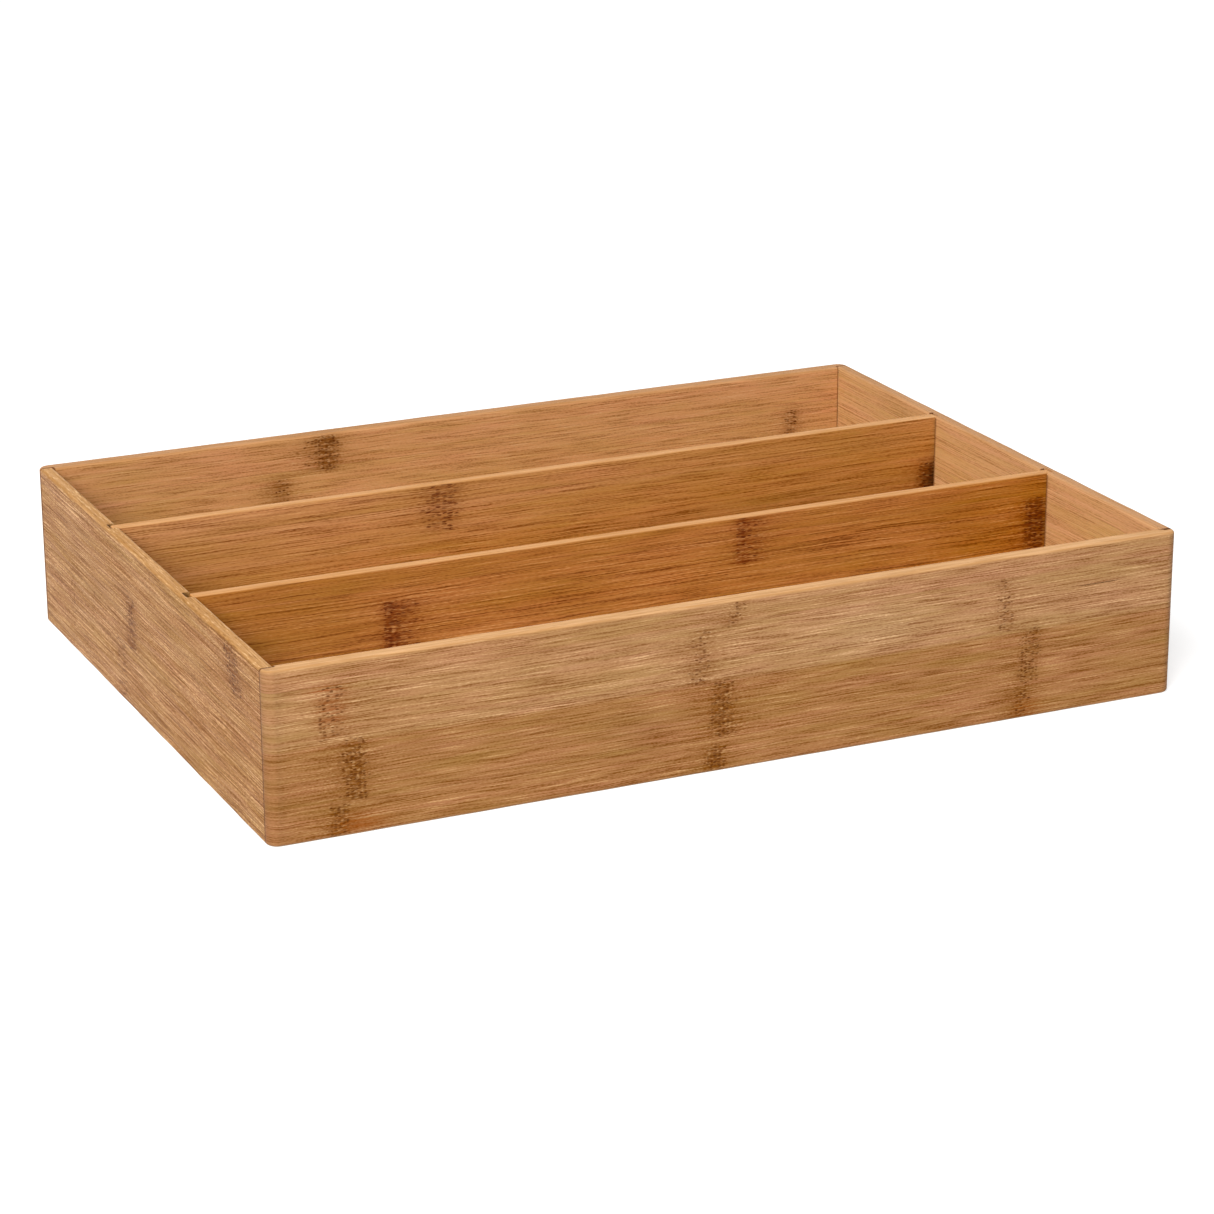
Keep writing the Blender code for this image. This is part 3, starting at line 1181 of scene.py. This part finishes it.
@dataclass(frozen=True)
class Studio:
    """The camera, the lamps, the pale room and the floor."""

    eye: tuple[float, float, float] = (-0.5283, -1.1658, 0.4583)
    azimuth: float = math.radians(24.638)
    elevation: float = math.radians(18.979)
    roll: float = math.radians(-0.243)
    lens: float = 109.775
    sensor: float = 36.0
    floor_side: float = 12.0
    floor_colour: float = 0.55
    floor_lift: float = 0.60
    room_light: float = 0.33
    target: tuple[float, float, float] = (0.0, 0.0, 0.03)
    lamps: tuple[Softbox, ...] = (
        Softbox("key", (-2.25, -2.10, 2.55), 2.4, 243.0),
        Softbox("overhead", (0.35, 0.1, 1.9), 1.4, 4.0),
    )

    def camera(self) -> None:
        """Aims the camera: it looks azimuth from +Y towards +X, and elevation downwards."""
        a, e, r = self.azimuth, self.elevation, self.roll
        ahead = Vector((math.sin(a) * math.cos(e), math.cos(a) * math.cos(e), -math.sin(e)))
        level = Vector((math.cos(a), -math.sin(a), 0.0))
        upright = level.cross(ahead)
        right = level * math.cos(r) + upright * math.sin(r)
        top = upright * math.cos(r) - level * math.sin(r)
        lens = bpy.data.cameras.new("camera")
        lens.lens = self.lens
        lens.sensor_width = self.sensor
        thing = bpy.data.objects.new("camera", lens)
        turn = Matrix((right, top, -ahead)).transposed().to_4x4()
        thing.matrix_world = Matrix.Translation(self.eye) @ turn
        bpy.context.scene.collection.objects.link(thing)
        bpy.context.scene.camera = thing

    def floor(self) -> None:
        """Lays a pale floor. For the camera it is a little lighter than for the tray, so that it
        shows white and keeps the tray's shadow."""
        bpy.ops.mesh.primitive_plane_add(size=self.floor_side)
        thing = bpy.context.active_object
        thing.name = "floor"
        bench = Bench(bpy.data.materials.new("floor_paper"))
        paper = bench.node("ShaderNodeBsdfDiffuse", {"Color": (*(self.floor_colour,) * 3, 1.0)})
        glow = bench.node("ShaderNodeEmission", {"Strength": bench.seen() * self.floor_lift})
        bench.close("ShaderNodeOutputMaterial", bench.node("ShaderNodeAddShader", {0: paper, 1: glow}))
        thing.data.materials.append(bench.owner)

    def room(self) -> None:
        """Fills the room with even light, which the camera sees as white."""
        bench = Bench(bpy.data.worlds.new("pale_room"))
        strength = bench.seen().step((0.0, 1.0), (self.room_light, 1.0))
        light = bench.node("ShaderNodeBackground", {"Color": (1.0, 1.0, 1.0, 1.0), "Strength": strength})
        bench.close("ShaderNodeOutputWorld", light)
        bpy.context.scene.world = bench.owner

    def build(self) -> None:
        """Sets up the whole studio."""
        self.camera()
        self.floor()
        self.room()
        for lamp in self.lamps:
            lamp.build(Vector(self.target))
        bpy.context.scene.view_settings.view_transform = "Standard"


@dataclass(frozen=True)
class Tray:
    """The fixed pieces: four boards glued round a bottom panel."""

    side: Tones = Tones(
        olive=(156, 114, 62),
        rosy=(163, 114, 73),
        dark=(118, 70, 26),
        ground=(116, 68, 28),
        speck=(84, 42, 8),
        rim=(187, 140, 88),
        rim_dark=(170, 122, 68),
    )
    # pale and paler: lighter copies of the wood for the rear and the right board, whose inner faces show.
    # Their extra lightness is painted light, for the light that reaches into the bays.
    pale: Tones = Tones(
        olive=(183, 135, 79),
        rosy=(193, 135, 90),
        dark=(134, 86, 40),
        rim=(180, 132, 88),
        rim_dark=(166, 118, 72),
    )
    paler: Tones = Tones(
        olive=(187, 144, 88),
        rosy=(196, 144, 100),
        dark=(140, 94, 48),
        rim=(180, 134, 92),
        rim_dark=(168, 121, 77),
    )
    panel: Tones = Tones(
        olive=(206, 166, 114),
        rosy=(212, 164, 120),
        dark=(168, 122, 72),
        light=(228, 194, 150),
    )

    def front_board(self) -> LongBoard:
        """The front board: three clusters of knuckles, a drying crack and a chip at the rim."""
        return LongBoard(
            "front_board",
            Bamboo("front_board_bamboo", 3.0, contrast=0.93),
            knuckles=(
                Knuckle(-148, (33.8, 52.8), width=9.2, strength=0.58, halo=(2, 6, 0.45)),
                Knuckle(-140.2, (12.1, 33.1), width=7.8, halo=(10, 4, 0.75)),
                Knuckle(-145.8, (-1, 11.4), width=7, strength=0.75, halo=(5, 6, 0.75)),
                Knuckle(-3.2, (51.1, 61), strength=0.75, lean=0.5, halo=(5, 3, 0.55)),
                Knuckle(-16.6, (31.8, 51.3), width=8.2, strength=0.42, lean=0.08, halo=(4, 5, 0.45)),
                Knuckle(-8.4, (12, 32), width=8.5, strength=1.05, halo=(6, 8, 0.65)),
                Knuckle(-11, (-1, 9.7), width=6.5, halo=(8, 3, 0.8)),
                Knuckle(100.6, (33.2, 52.7), width=6.8, strength=0.75, halo=(4, 3, 0.3)),
                Knuckle(110.7, (12.9, 32.9), width=8, strength=0.8, lean=0.1, halo=(7, 3, 0.45)),
                Knuckle(108, (-1, 12.5), width=6, strength=0.42, lean=0.1, halo=(5, 3, 0.75)),
            ),
            marks=(
                Strip((-1, 11.5), tone=-0.9),
                Strip((11.5, 32), tone=-0.9),
                Strip((32, 52.5), tone=0.9),
                Strip((52.5, 61), tone=0.6),
                # Painted shade on the rounded front-left corner, which the key lamp lights most
                Patch(-171, 30, 5, 90, warmth=0.12, shade=0.25),
                Patch(-130.6, 40.4, 60, 30, tone=-0.5),
                Patch(50.8, 42.2, 20, 8, tone=0.8, warmth=-0.4),
                Patch(-38.5, 18.6, 14, 9, tone=-0.7, warmth=0.2),
                Patch(-149.4, 50.2, 6, 2, rust=0.95),
                Patch(-147.8, 42.3, 4.5, 5, rust=0.6),
                Patch(-138.4, 3.9, 8, 3, rust=0.6),
                Patch(110.8, 3.5, 6, 3, rust=0.6),
            ),
            slits=(Slit((0.1290, 0.1466), 0.0454, width=0.0005, depth=0.0006),),
            chips=(Cut((0.1662, 0.1710), (0.0565, 0.0610), 0.0026),),
        )

    def rear_board(self) -> LongBoard:
        """The rear board, whose inner face shows, in lighter tones whose extra lightness is painted light."""
        return LongBoard(
            "rear_board",
            Bamboo("rear_board_bamboo", 17.0, tones=self.pale, first_edge=6.0, contrast=0.8),
            outside=Outside.HIGH,
            pale_mouth=0.0025,
            knuckles=(
                Knuckle(-56.8, (45.4, 61), width=8, strength=0.52, halo=(6, 3, 0.75)),
                Knuckle(-59.8, (45.4, 61), width=16, strength=0.22, halo=(6, 6, 0.2)),
                Knuckle(-76.2, (25.5, 44.5), width=5.5, strength=0.32, halo=(6, 4, 0.75)),
                Knuckle(143.6, (25.8, 44.8), width=5.5, strength=0.7, halo=(5, 4, 0.75)),
            ),
        )

    def left_board(self) -> SideBoard:
        """The left board, whose outer face shows."""
        return SideBoard(
            "left_side_board",
            Bamboo(
                "left_board_bamboo",
                29.0,
                Grain.FRONT_TO_REAR,
                self.side,
                contrast=0.85,
                bands=1.9,
                stretch=1.6,
                hair=1.3,
                pores=0.75,
                flecks=0.5,
            ),
            knuckles=(
                Knuckle(14.2, (22.9, 41.4), width=9, halo=(5, 6, 0.7)),
                Knuckle(27.4, (-1, 22.7), width=10, strength=0.5, halo=(8, 8, 0.4)),
                Knuckle(-94.2, (41.8, 61), width=12, strength=0.8, lean=0.4, halo=(6, 8, 0.75)),
                Knuckle(84.6, (3.3, 22.8), width=6, strength=0.2, halo=(6, 6, 0.15)),
            ),
            marks=(
                Patch(-125, 30.5, 90, 90, tone=-0.5),
                Patch(119.9, 31.2, 90, 90, tone=0.3),
            ),
        )

    def right_board(self) -> SideBoard:
        """The right board, whose inner face shows, in lighter tones whose extra lightness is painted light.
        """
        return SideBoard(
            "right_side_board",
            Bamboo("right_board_bamboo", 41.0, Grain.FRONT_TO_REAR, self.paler, contrast=0.75, stretch=2.5),
            outside=Outside.HIGH,
            pale_mouth=0.0015,
            tight=True,
        )

    def boards(self) -> tuple[Board, ...]:
        """Every fixed piece. The panel lies with its outer face down."""
        panel = Panel("bottom_panel", Bamboo("bottom_panel_bamboo", 79.0, Grain.FLAT_SHEET, self.panel))
        return self.front_board(), self.rear_board(), self.left_board(), self.right_board(), panel


@dataclass(frozen=True)
class LiftOutDividers:
    """The two loose dividers, each on a body of its own."""

    deep: Tones = Tones(
        olive=(166, 109, 43),
        rosy=(175, 109, 54),
        dark=(112, 56, 8),
        ground=(116, 52, 8),
        speck=(84, 28, 0),
        light=(208, 150, 90),
        rim=(200, 148, 96),
        rim_dark=(186, 131, 76),
    )
    warm: Tones = Tones(
        olive=(174, 121, 61),
        rosy=(184, 123, 73),
        dark=(118, 62, 12),
        ground=(118, 58, 14),
        speck=(86, 32, 0),
        light=(210, 156, 98),
        rim=(204, 154, 104),
        rim_dark=(190, 137, 84),
    )

    def front_divider(self) -> Divider:
        """The front divider."""
        return Divider(
            "front_divider",
            Bamboo("front_divider_bamboo", 53.0, tones=self.deep, contrast=0.9, stretch=1.5),
            body="front_divider",
            knuckles=(
                Knuckle(-95.7, (29.6, 48.1), width=4, strength=0.85, halo=(2, 3, 0.65)),
                Knuckle(-91.2, (29.6, 48.1), width=12, strength=0.4, halo=(3, 7, 0.5)),
                Knuckle(39.2, (42.1, 61), width=4, strength=0.45, halo=(2, 3, 0.65)),
                Knuckle(43.9, (42.1, 61), width=11, strength=0.2, halo=(3, 4, 0.4)),
                Knuckle(161, (29.7, 50.7), width=9, halo=(6, 4, 0.8)),
            ),
            marks=(
                Patch(161.6, 39.7, 6, 13, tone=-2.4),
                Patch(149.5, 39.7, 35, 50, tone=-0.8),
            ),
        )

    def rear_divider(self) -> Divider:
        """The rear divider."""
        return Divider(
            "rear_divider",
            Bamboo("rear_divider_bamboo", 67.0, tones=self.warm, contrast=0.85, stretch=1.5),
            body="rear_divider",
            knuckles=(
                Knuckle(-42, (41.6, 61), width=11, strength=0.58, halo=(5, 5, 0.4)),
                Knuckle(-43, (41.6, 61), width=22, strength=0.2, halo=(6, 6, 0.1)),
                Knuckle(163.5, (29.8, 41.8), width=9, halo=(6, 5, 0.95)),
            ),
            marks=(
                Patch(130.3, 44.8, 90, 50, tone=-1),
                # Painted shade: a dark band 32.7 mm up the face, along the lowest part that shows above the
                # front divider
                Patch(60.2, 32.7, 120, 6, tone=-0.9),
                Strip((30, 37.5), tone=-0.4),
                Strip((50, 61), tone=0.4),
                Patch(-149.1, 44.5, 80, 50, tone=0.3),
                Patch(166.1, 34.8, 6, 8.5, tone=-6.2, rust=0.9),
            ),
        )

    def boards(self) -> tuple[Board, ...]:
        """Both dividers."""
        return self.front_divider(), self.rear_divider()


def main() -> None:
    """Builds the tray and its studio."""
    logging.basicConfig(level=logging.INFO, format="%(name)s: %(message)s")
    for assembly in (Tray(), LiftOutDividers()):
        for board in assembly.boards():
            board.build()
    Studio().build()


if __name__ == "__main__":
    main()
